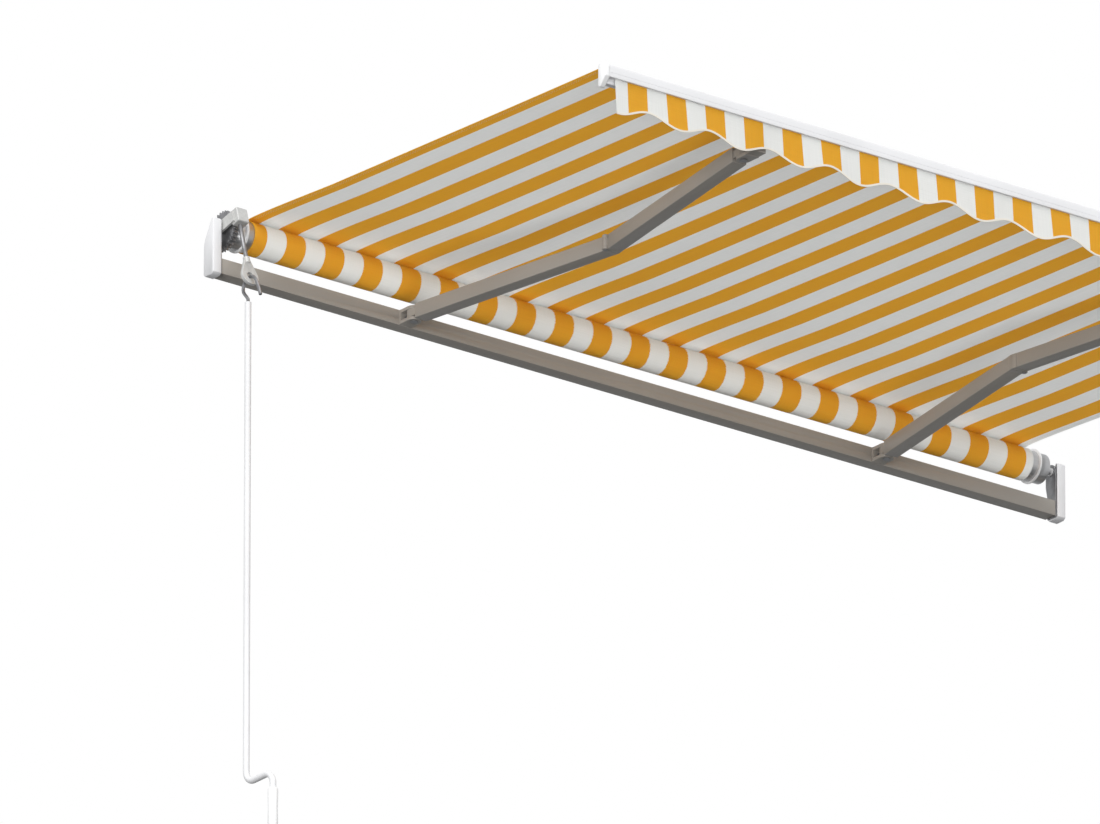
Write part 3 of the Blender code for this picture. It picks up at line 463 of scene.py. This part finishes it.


# %% [markdown]
# ## The drawn-out cloth
# The arms' springs keep the cloth tight, so it sags by only a few millimetres. It leaves the top
# of the roll, runs down a little, and ends in a groove at the back of the front bar. Shallow
# ripples cross it, where the pull is uneven. A low crown in front of the roll keeps the cloth
# clear of it.

# %% Canopy
low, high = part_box("canopy")
roll_low, roll_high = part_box("cloth_roll")
CLOTH_HALF = high.x
ROLL_Y = (roll_low.y + roll_high.y) / 2
ROLL_Z = (roll_low.z + roll_high.z) / 2
ROLL_R = (roll_high.z - roll_low.z) / 2
CLEAR_OF_ROLL = 0.0009
BACK = Vector((0, high.y, ROLL_Z + ROLL_R + CLEAR_OF_ROLL))
FRONT = Vector((0, low.y + 0.0005, low.z + CLEAR_OF_ROLL))
SAG = 0.0035
RIPPLE = 0.0012
CROWN = 0.0048
CROWN_END = 0.25


def canopy_point(across, along):
    x = -CLOTH_HALF + 2 * CLOTH_HALF * across
    y = BACK.y + (FRONT.y - BACK.y) * along
    z = BACK.z + (FRONT.z - BACK.z) * along
    middle = math.sin(math.pi * along)
    z -= SAG * middle * (1 - 0.25 * math.cos(2 * math.pi * across))
    z += CROWN * math.sin(math.pi * math.sqrt(min(along / CROWN_END, 1.0)))
    ends = math.sin(math.pi * along) ** 2
    z += RIPPLE * ends * math.sin(9.0 * x + 1.3) * math.cos(2.2 * along + 0.6 * x)
    return (x, y, z)


def canopy_map(across, along):
    run = (BACK - FRONT).length
    return (-CLOTH_HALF + 2 * CLOTH_HALF * across, run * along)


canopy = new_piece(
    "canopy_cloth_sheet",
    sheet_mesh("canopy_cloth_sheet", 160, 64, canopy_point, canopy_map),
    CANOPY_CLOTH,
    "root",
    "canvas",
    "canopy",
)
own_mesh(canopy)


# %% [markdown]
# ## The roll
# What is still wound on the roller shows its turns at the two ends. The roll is a row of rings:
# inwards over the turns at the left end, along the tube, and outwards over the turns at the
# right end. Each turn ends in a small step, which reads as the cloth's edge.

# %% Cloth roll
TURNS_LEFT = 4
ROLL_SIDES = 96
TUBE_CLEARANCE = 0.0003
TURN_STAGGER = 0.0002
TURN_STEP = 0.0012


def roll_mesh():
    tube_low, tube_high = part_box("roller_tube")
    inner = (tube_high.z - tube_low.z) / 2 + TUBE_CLEARANCE
    layer_step = (ROLL_R - inner) / TURNS_LEFT
    bm = bmesh.new()
    cloth = bm.loops.layers.uv.new("cloth")
    rings = []
    stations = [(-1, k) for k in range(TURNS_LEFT, -1, -1)]
    stations += [(1, k) for k in range(TURNS_LEFT + 1)]
    for side, layer in stations:
        radius = inner + layer * layer_step
        reach = CLOTH_HALF - (TURNS_LEFT - layer) * TURN_STAGGER
        for edge in (0, 1) if 0 < layer < TURNS_LEFT else (0,):
            ring = []
            x = side * (reach - edge * TURN_STEP)
            for i in range(ROLL_SIDES):
                turn = 2 * math.pi * i / ROLL_SIDES
                y = ROLL_Y + radius * math.cos(turn)
                z = ROLL_Z + radius * math.sin(turn)
                ring.append(bm.verts.new((x, y, z)))
            rings.append(ring)
    for first, second in zip(rings, rings[1:] + rings[:1]):
        for i in range(ROLL_SIDES):
            j = (i + 1) % ROLL_SIDES
            face = bm.faces.new((first[i], first[j], second[j], second[i]))
            for loop, step in zip(face.loops, (i, i + 1, i + 1, i)):
                around = step / ROLL_SIDES * 2 * math.pi * ROLL_R
                loop[cloth].uv = (loop.vert.co.x, around)
    bmesh.ops.recalc_face_normals(bm, faces=bm.faces[:])
    mesh = bpy.data.meshes.new("cloth_roll_wound")
    bm.to_mesh(mesh)
    bm.free()
    return smooth(mesh, 50)


roll = new_piece("cloth_roll_wound", roll_mesh(), CANOPY_CLOTH, "roller", "canvas", "cloth_roll")
print("roll across", round(2 * ROLL_R * 1000), "mm")


# %% [markdown]
# ## The roller's end rings
# A white plastic ring sits at each end of the bare roller, between the cloth and the drum that
# carries the gear. Its section is turned round the roller's axis.

# %% End rings
RING_SIDES = 72
RING_BORE = 0.0440
RING_RADIUS = 0.0504
RING_CHAMFER = (0.0008, 0.0012)
RING_WIDTH = 0.0050
RING_GAP = 0.0001


def turned_on_roller(name, section):
    """A closed section of (x, radius) points, turned round the roller's axis."""
    bm = bmesh.new()
    loops = []
    for i in range(RING_SIDES):
        turn = 2 * math.pi * i / RING_SIDES
        across, up = math.cos(turn), math.sin(turn)
        loops.append(
            [bm.verts.new((x, ROLL_Y + r * across, ROLL_Z + r * up)) for x, r in section]
        )
    for first, second in zip(loops, loops[1:] + loops[:1]):
        for i in range(len(section)):
            j = (i + 1) % len(section)
            bm.faces.new((first[i], first[j], second[j], second[i]))
    bmesh.ops.recalc_face_normals(bm, faces=bm.faces[:])
    mesh = bpy.data.meshes.new(name)
    bm.to_mesh(mesh)
    bm.free()
    return smooth(mesh, 40)


tube_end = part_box("roller_tube")[1].x
for side, label in ((-1, "left"), (1, "right")):
    near = side * (tube_end + RING_GAP)
    far = near + side * RING_WIDTH
    section = [(near, RING_BORE), (far, RING_BORE), (far, RING_RADIUS - RING_CHAMFER[1])]
    section += [(far - side * RING_CHAMFER[0], RING_RADIUS), (near, RING_RADIUS)]
    new_piece(
        f"roller_ring_{label}",
        turned_on_roller(f"roller_ring_{label}", section),
        FINISHES["white_plastic"],
        "roller",
        "white_plastic",
    )
print("end rings at", round(tube_end, 3), "m")


# %% [markdown]
# ## The valance
# The valance hangs from the front bar and is cut in waves along its lower edge. It is free to
# move, so it hangs in shallow folds that grow towards the bottom.

# %% Valance
v_low, v_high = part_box("valance")
VALANCE_HALF = v_high.x
VALANCE_TOP = Vector((0, v_high.y - 0.0008, v_high.z))
LEAN = 0.0945
DROP = 0.088
WAVE = 0.014
WAVE_LENGTH = 0.207
WAVE_LOW_X = -0.907
WIDE_FOLD = 0.0026
NARROW_FOLD = 0.0012


def valance_drop(x):
    return DROP + WAVE * math.cos(2 * math.pi * (x - WAVE_LOW_X) / WAVE_LENGTH)


def valance_point(across, along):
    x = -VALANCE_HALF + 2 * VALANCE_HALF * across
    down = valance_drop(x) * along
    fold = WIDE_FOLD * along * math.sin(2 * math.pi * (x - WAVE_LOW_X) / WAVE_LENGTH * 0.5 + 0.7)
    fold += NARROW_FOLD * along * math.sin(23.0 * x)
    y = VALANCE_TOP.y - down * LEAN + fold
    return (x, y, VALANCE_TOP.z - down)


def valance_map(across, along):
    x = -VALANCE_HALF + 2 * VALANCE_HALF * across
    return (x, valance_drop(x) * along)


valance = new_piece(
    "valance_cloth_sheet",
    sheet_mesh("valance_cloth_sheet", 320, 12, valance_point, valance_map),
    VALANCE_CLOTH,
    "front_bar",
    "canvas",
    "valance",
)
print("valance drop", round(DROP + WAVE, 3), "m at its lowest")


# %% [markdown]
# ## Binding and stitches with Geometry Nodes
# The waved edge is bound with a narrow cream tape, sewn through with a row of stitches. Both
# follow a path, which is the work that Geometry Nodes does best. One tree turns a line into a
# curve and sweeps a flat profile along it. Another spreads short thread stitches along a line.

# %% Trees that follow a path


def new_tree(name, floats, finish_socket=True):
    tree = bpy.data.node_groups.new(name, "GeometryNodeTree")
    tree.interface.new_socket("Geometry", in_out="INPUT", socket_type="NodeSocketGeometry")
    for label, value in floats:
        socket = tree.interface.new_socket(label, in_out="INPUT", socket_type="NodeSocketFloat")
        socket.default_value = value
    if finish_socket:
        tree.interface.new_socket("Finish", in_out="INPUT", socket_type="NodeSocketMaterial")
    tree.interface.new_socket("Geometry", in_out="OUTPUT", socket_type="NodeSocketGeometry")
    return tree, tree.nodes.new("NodeGroupInput"), tree.nodes.new("NodeGroupOutput")


def finish_tree(tree, given, result, geometry):
    realize = tree.nodes.new("GeometryNodeRealizeInstances")
    dress = tree.nodes.new("GeometryNodeSetMaterial")
    tree.links.new(geometry, realize.inputs[0])
    tree.links.new(realize.outputs[0], dress.inputs["Geometry"])
    tree.links.new(given.outputs["Finish"], dress.inputs["Material"])
    tree.links.new(dress.outputs[0], result.inputs[0])
    return tree


def binding_tree():
    tree, given, result = new_tree("tape_along_a_line", (("Height", 0.006), ("Thickness", 0.0022)))
    curve = tree.nodes.new("GeometryNodeMeshToCurve")
    tree.links.new(given.outputs["Geometry"], curve.inputs[0])
    profile = tree.nodes.new("GeometryNodeCurvePrimitiveQuadrilateral")
    tree.links.new(given.outputs["Thickness"], profile.inputs["Width"])
    tree.links.new(given.outputs["Height"], profile.inputs["Height"])
    sweep = tree.nodes.new("GeometryNodeCurveToMesh")
    sweep.inputs["Fill Caps"].default_value = True
    tree.links.new(curve.outputs[0], sweep.inputs["Curve"])
    tree.links.new(profile.outputs[0], sweep.inputs["Profile Curve"])
    return finish_tree(tree, given, result, sweep.outputs[0])


def stitch_tree():
    tree, given, result = new_tree(
        "stitches_along_a_line", (("Pitch", 0.006), ("Length", 0.004), ("Thread", 0.0005))
    )
    curve = tree.nodes.new("GeometryNodeMeshToCurve")
    tree.links.new(given.outputs["Geometry"], curve.inputs[0])
    points = tree.nodes.new("GeometryNodeCurveToPoints")
    points.mode = "LENGTH"
    tree.links.new(curve.outputs[0], points.inputs["Curve"])
    tree.links.new(given.outputs["Pitch"], points.inputs["Length"])
    ball = tree.nodes.new("GeometryNodeMeshIcoSphere")
    ball.inputs["Subdivisions"].default_value = 1
    tree.links.new(given.outputs["Thread"], ball.inputs["Radius"])
    stretch = tree.nodes.new("GeometryNodeTransform")
    stretch.inputs["Scale"].default_value = (1.0, 1.0, 4.0)
    tree.links.new(ball.outputs[0], stretch.inputs[0])
    spread = tree.nodes.new("GeometryNodeInstanceOnPoints")
    tree.links.new(points.outputs["Points"], spread.inputs["Points"])
    tree.links.new(stretch.outputs[0], spread.inputs["Instance"])
    tree.links.new(points.outputs["Rotation"], spread.inputs["Rotation"])
    return finish_tree(tree, given, result, spread.outputs[0])


BINDING_TREE = binding_tree()
STITCH_TREE = stitch_tree()


def follow(name, points, tree, values, look, body):
    """Runs a tree along a line of points, and keeps its result as a plain mesh."""
    mesh = bpy.data.meshes.new(name)
    mesh.from_pydata(points, [(i, i + 1) for i in range(len(points) - 1)], [])
    thing = loose(name + "_raw", mesh)
    modifier = thing.modifiers.new("Follow", "NODES")
    modifier.node_group = tree
    for item in tree.interface.items_tree:
        if item.in_out == "INPUT" and item.name in values:
            modifier[item.identifier] = values[item.name]
        elif item.in_out == "INPUT" and item.name == "Finish":
            modifier[item.identifier] = look
    made = baked(thing)
    bm = bmesh.new()
    bm.from_mesh(made)
    bmesh.ops.recalc_face_normals(bm, faces=bm.faces[:])
    bm.to_mesh(made)
    bm.free()
    return new_piece(name, smooth(made), look, body, "canvas")


# %% [markdown]
# ## Sewing the valance's edge
# Both lines come from the valance's own formula, at a share of its drop near the lower edge. So
# the tape and the stitches follow every wave and fold without any fitting.

# %% Binding and stitches
EDGE_STEPS = 420


def valance_line(along, away, steps=EDGE_STEPS):
    """Points along the valance at a share of its drop, held away from its face."""
    found = []
    for i in range(steps + 1):
        x, y, z = valance_point(i / steps, along)
        found.append((x, y + away, z))
    return found


TAPE_HEIGHT = 0.0055
tape = follow(
    "valance_binding",
    valance_line(0.985, 0.0),
    BINDING_TREE,
    {"Height": TAPE_HEIGHT, "Thickness": 0.0018},
    BINDING,
    "front_bar",
)
seam = follow(
    "valance_stitches",
    valance_line(0.972, -0.0011),
    STITCH_TREE,
    {"Pitch": 0.007},
    THREAD_FINISH,
    "front_bar",
)
print("binding", round(2 * VALANCE_HALF, 2), "m long")


# %% [markdown]
# ## Hems of the canopy
# The two side edges of the cloth are turned over and sewn with a double row of stitches. The
# rows ride on the same body as the cloth.

# %% Canopy hems
HEM_ROWS = (0.010, 0.016)
UNDER_CLOTH = 0.0006


def hem_line(side, inset, steps=60):
    across = 0.5 + side * (0.5 - inset / (2 * CLOTH_HALF))
    found = []
    for i in range(steps + 1):
        x, y, z = canopy_point(across, 0.02 + 0.96 * i / steps)
        found.append((x, y, z - UNDER_CLOTH))
    return found


for side, label in ((-1, "left"), (1, "right")):
    for row, inset in enumerate(HEM_ROWS):
        stitches = follow(
            f"canopy_hem_{label}_{row}",
            hem_line(side, inset),
            STITCH_TREE,
            {"Pitch": 0.0075},
            THREAD_FINISH,
            "root",
        )
        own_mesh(stitches)
print("hem rows", 2 * len(HEM_ROWS))


# %% [markdown]
# ## The front bar
# The front bar is an aluminium extrusion: one outline, the same along its whole length, with
# narrow grooves that grip the canopy's and the valance's edges. An outline is drawn once and
# swept along X.

# %% Front bar
bar_low, bar_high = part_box("front_bar")
FRONT_Y, REAR_Y = bar_low.y, bar_high.y
FOOT, TOP = bar_low.z, bar_high.z
EDGE_ROUND = 0.0016
BROW = 0.0085
FOOT_DEPTH = 0.018
FOOT_HEIGHT = 0.016
SLOT_DEPTH = 0.005
SLOT_HALF = 0.0022


def corner(y, z, radius, first, last, steps=4):
    """A rounded corner of an outline, with angles in degrees from +Y towards +Z."""
    found = []
    for i in range(steps + 1):
        turn = math.radians(first + (last - first) * i / steps)
        found.append((y + radius * math.cos(turn), z + radius * math.sin(turn)))
    return found


def front_bar_outline():
    r = EDGE_ROUND
    step_y = REAR_Y - FOOT_DEPTH
    lip = FOOT + FOOT_HEIGHT
    groove = lip + 0.0040
    outline = corner(REAR_Y - r, FOOT + r, r, 0, -90)
    outline += corner(step_y + r, FOOT + r, r, -90, -180)
    outline += [(step_y, lip), (step_y - 0.0035, lip), (step_y - 0.0035, groove)]
    outline += [(step_y - 0.0070, groove), (step_y - 0.0070, lip)]
    outline += corner(FRONT_Y + r, lip + r, r, -90, -180)
    outline += [(FRONT_Y, lip + 0.0115), (FRONT_Y + 0.0008, lip + 0.0119)]
    outline += [(FRONT_Y + 0.0008, lip + 0.0129), (FRONT_Y, lip + 0.0133)]
    outline += corner(FRONT_Y + BROW, TOP - BROW, BROW, 180, 90, 8)
    outline += corner(REAR_Y - r, TOP - r, r, 90, 0)
    slot_end = REAR_Y - SLOT_DEPTH
    outline += [(REAR_Y, FRONT.z + SLOT_HALF), (slot_end, FRONT.z + SLOT_HALF)]
    outline += [(slot_end, FRONT.z - SLOT_HALF), (REAR_Y, FRONT.z - SLOT_HALF)]
    return outline


def swept_along_x(name, outline, half):
    bm = bmesh.new()
    left = [bm.verts.new((-half, y, z)) for y, z in outline]
    right = [bm.verts.new((half, y, z)) for y, z in outline]
    count = len(outline)
    for i in range(count):
        j = (i + 1) % count
        bm.faces.new((left[i], left[j], right[j], right[i]))
    bm.faces.new(left)
    bm.faces.new(right)
    bmesh.ops.recalc_face_normals(bm, faces=bm.faces[:])
    mesh = bpy.data.meshes.new(name)
    bm.to_mesh(mesh)
    bm.free()
    return smooth(mesh, 35)


new_piece(
    "front_bar_extrusion",
    swept_along_x("front_bar_extrusion", front_bar_outline(), bar_high.x),
    FINISHES["white_paint"],
    "front_bar",
    "white_paint",
    "front_bar",
)
print("front bar", round(2 * bar_high.x, 3), "m")


# %% [markdown]
# ## The crank
# The crank is a plain tube with two bends. It is swept again here with enough sides to look
# round, along the middle line of the CAD piece. Its hook is a bent round bar, which is already
# round in the CAD and needs only the same clean-up as the other frame pieces.

# %% Crank tube and hook


def round_sweep(name, points, radius, sides):
    curve = bpy.data.curves.new(name, "CURVE")
    curve.dimensions = "3D"
    curve.bevel_depth = radius
    curve.bevel_resolution = sides
    curve.use_fill_caps = True
    spline = curve.splines.new("POLY")
    spline.points.add(len(points) - 1)
    for point, where in zip(spline.points, points):
        point.co = (*where, 1)
    mesh = baked(loose(name + "_raw", curve))
    bm = bmesh.new()
    bm.from_mesh(mesh)
    bmesh.ops.remove_doubles(bm, verts=bm.verts[:], dist=1e-6)
    bmesh.ops.recalc_face_normals(bm, faces=bm.faces[:])
    bm.to_mesh(mesh)
    bm.free()
    return smooth(mesh, 50)


CRANK_BEND = 0.035
CRANK_BEND_Z = -1.569
BEND_STEPS = 12


def crank_points():
    """The crank's middle line: down, a quarter bend out, a quarter bend down, and down."""
    low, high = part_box("crank_rod")
    x = (low.x + high.x) / 2
    radius = high.x - x
    upper, lower = high.y - radius, low.y + radius
    bend, level = CRANK_BEND, CRANK_BEND_Z
    quarter = [math.radians(90 * i / BEND_STEPS) for i in range(BEND_STEPS + 1)]
    points = [(x, upper, high.z), (x, upper, level + bend)]
    for turn in quarter[1:]:
        y = upper - bend + bend * math.cos(turn)
        points.append((x, y, level + bend - bend * math.sin(turn)))
    for turn in quarter:
        y = lower + bend - bend * math.sin(turn)
        points.append((x, y, level - bend + bend * math.cos(turn)))
    points.append((x, lower, low.z))
    return points, radius


rod_line, rod_radius = crank_points()
new_piece(
    "crank_tube",
    round_sweep("crank_tube", rod_line, rod_radius, 8),
    FINISHES["white_paint"],
    "crank",
    "white_paint",
    "crank_rod",
)
refined("crank_hook")
print("crank tube", round(2 * rod_radius * 1000, 1), "mm across")


# %% [markdown]
# ## Light and stage
# The awning is seen from below, so its light comes from low down. A broad key sun on the left
# and a softer one in front model the tubes, and a high one makes the cloth glow. The light from
# all round is dimmer underneath, which keeps the undersides of the arms dark. One soft light
# from below is linked to the canopy and the roll alone. The floor shows only to a camera above
# it, and every other ray passes through it.

# %% Light and floor
FLOOR_GAP = 0.25


def add_world():
    """White to the camera, and a dimmed soft light to everything else."""
    world = bpy.data.worlds.new("studio")
    bpy.context.scene.world = world
    world.use_nodes = True
    nodes, links = world.node_tree.nodes, world.node_tree.links
    background = nodes["Background"]
    seen = nodes.new("ShaderNodeBackground")
    seen.inputs["Color"].default_value = (1, 1, 1, 1)
    background.inputs["Color"].default_value = (0.98, 0.99, 1.0, 1)
    direction = nodes.new("ShaderNodeSeparateXYZ")
    links.new(nodes.new("ShaderNodeTexCoord").outputs["Generated"], direction.inputs[0])
    dimmed = nodes.new("ShaderNodeMapRange")
    dimmed.inputs["From Min"].default_value = -0.8
    dimmed.inputs["From Max"].default_value = 0.0
    dimmed.inputs["To Min"].default_value = 0.06
    dimmed.inputs["To Max"].default_value = 0.66
    links.new(direction.outputs[2], dimmed.inputs["Value"])
    links.new(dimmed.outputs[0], background.inputs["Strength"])
    path = nodes.new("ShaderNodeLightPath")
    choose = nodes.new("ShaderNodeMixShader")
    links.new(path.outputs["Is Camera Ray"], choose.inputs[0])
    links.new(background.outputs[0], choose.inputs[1])
    links.new(seen.outputs[0], choose.inputs[2])
    links.new(choose.outputs[0], nodes["World Output"].inputs["Surface"])


def add_sun(name, azimuth, elevation, strength, spread):
    data = bpy.data.lights.new(name, "SUN")
    data.energy = strength
    data.angle = math.radians(spread)
    sun = bpy.data.objects.new(name, data)
    bpy.context.scene.collection.objects.link(sun)
    turn, rise = math.radians(azimuth), math.radians(elevation)
    toward = Vector(
        (math.sin(turn) * math.cos(rise), -math.cos(turn) * math.cos(rise), math.sin(rise))
    )
    sun.rotation_mode = "QUATERNION"
    sun.rotation_quaternion = toward.to_track_quat("Z", "Y")
    sun.location = toward * 6
    return sun


def add_floor():
    finish = Finish("pale_floor", 0.9)
    finish.shader.inputs["Base Color"].default_value = (0.55, 0.55, 0.545, 1)
    seen = finish.nodes.new("ShaderNodeLightPath").outputs["Is Camera Ray"]
    below = finish.nodes.new("ShaderNodeNewGeometry").outputs["Backfacing"]
    clear = finish.nodes.new("ShaderNodeBsdfTransparent")
    choose = finish.nodes.new("ShaderNodeMixShader")
    finish.join(finish.maths("SUBTRACT", seen, below), choose.inputs[0])
    finish.join(clear.outputs[0], choose.inputs[1])
    finish.join(finish.shader.outputs[0], choose.inputs[2])
    finish.join(choose.outputs[0], finish.nodes["Material Output"].inputs["Surface"])
    bm = bmesh.new()
    bmesh.ops.create_grid(bm, x_segments=1, y_segments=1, size=12.0)
    mesh = bpy.data.meshes.new("floor")
    bm.to_mesh(mesh)
    bm.free()
    mesh.materials.append(finish.material)
    floor = bpy.data.objects.new("floor", mesh)
    floor.location = (0, 0, cad_box[0].z - FLOOR_GAP)
    bpy.context.scene.collection.objects.link(floor)


add_world()
add_sun("key", -60, -6, 1.5, 30)
add_sun("front", -8, -7, 0.70, 50)
add_sun("sky", -40, 58, 1.3, 30)
under_cloth = add_sun("under_cloth", -38, -60, 0.85, 60)
lit_cloth = bpy.data.collections.new("lit_cloth")
for piece in (canopy, roll):
    lit_cloth.objects.link(piece)
under_cloth.light_linking.receiver_collection = lit_cloth
add_floor()
